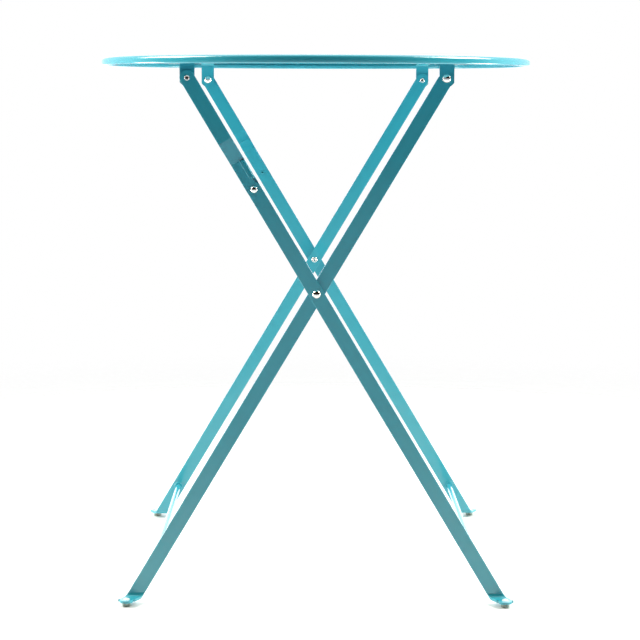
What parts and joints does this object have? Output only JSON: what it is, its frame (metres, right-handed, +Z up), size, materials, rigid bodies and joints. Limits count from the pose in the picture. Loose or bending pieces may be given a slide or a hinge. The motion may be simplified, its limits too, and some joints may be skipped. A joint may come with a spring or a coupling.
{
  "type": "folding bistro table",
  "caption": "Folding bistro table: round painted steel pan top on crossed flat-bar frames with knee links, crossbars and glides",
  "frame": {"origin": "on the floor, below the middle of the round top, with the table open", "axes": "+Z up, +X to the right in the front view where the frames make an X, +Y to the back"},
  "size_m": [0.5999, 0.6, 0.715],
  "materials": {
    "top_paint": "glossy turquoise powder coat",
    "frame_paint": "glossy turquoise powder coat",
    "rivet_steel": "bright domed rivet heads",
    "washer_steel": "plain zinc-plated washers",
    "glide_plastic": "grey moulded plastic",
    "cap_plastic": "off-white moulded plastic"
  },
  "bodies": {
    "inner_frame": {"inner_leg_front": "frame_paint", "inner_leg_rear": "frame_paint", "inner_crossbar": "frame_paint", "crossing_rivet_front": "rivet_steel", "crossing_rivet_rear": "rivet_steel", "crossing_washer_front": "washer_steel", "crossing_washer_rear": "washer_steel", "top_rivet_tail_front": "rivet_steel", "top_rivet_tail_rear": "rivet_steel", "top_washer_front": "washer_steel", "top_washer_rear": "washer_steel", "inner_glide_front": "glide_plastic", "inner_glide_rear": "glide_plastic", "inner_glide_cap_front": "cap_plastic", "inner_glide_cap_rear": "cap_plastic"},
    "outer_frame": {"outer_leg_front": "frame_paint", "outer_leg_rear": "frame_paint", "outer_crossbar": "frame_paint", "knee_rivet_front": "rivet_steel", "knee_rivet_rear": "rivet_steel", "outer_glide_front": "glide_plastic", "outer_glide_rear": "glide_plastic", "outer_glide_cap_front": "cap_plastic", "outer_glide_cap_rear": "cap_plastic"},
    "knee_links": {"knee_link_front": "frame_paint", "knee_link_rear": "frame_paint"},
    "top": {"table_top": "top_paint", "left_rail": "frame_paint", "right_rail": "frame_paint", "link_rivet_front": "rivet_steel", "link_rivet_rear": "rivet_steel", "link_washer_front": "washer_steel", "link_washer_rear": "washer_steel", "top_rivet_front": "rivet_steel", "top_rivet_rear": "rivet_steel"}
  },
  "joints": [
    {"name": "leg_fold", "type": "hinge", "parent": "inner_frame", "child": "outer_frame", "pos_m": [0, 0, 0.4114], "axis": [0, 1, 0], "range_deg": [0, 58.51]},
    {"name": "knee_fold", "type": "hinge", "parent": "outer_frame", "child": "knee_links", "pos_m": [-0.08024, 0, 0.54624], "axis": [0, -1, 0], "range_deg": [0, 172.86]},
    {"name": "top_tilt", "type": "hinge", "parent": "knee_links", "child": "top", "pos_m": [-0.164, 0, 0.687], "axis": [0, 1, 0], "range_deg": [0, 58.61]}
  ],
  "couplings": [
    {"joint": "knee_fold", "follows": "leg_fold", "ratio": 2.9542},
    {"joint": "top_tilt", "follows": "leg_fold", "ratio": 1.0016}
  ]
}
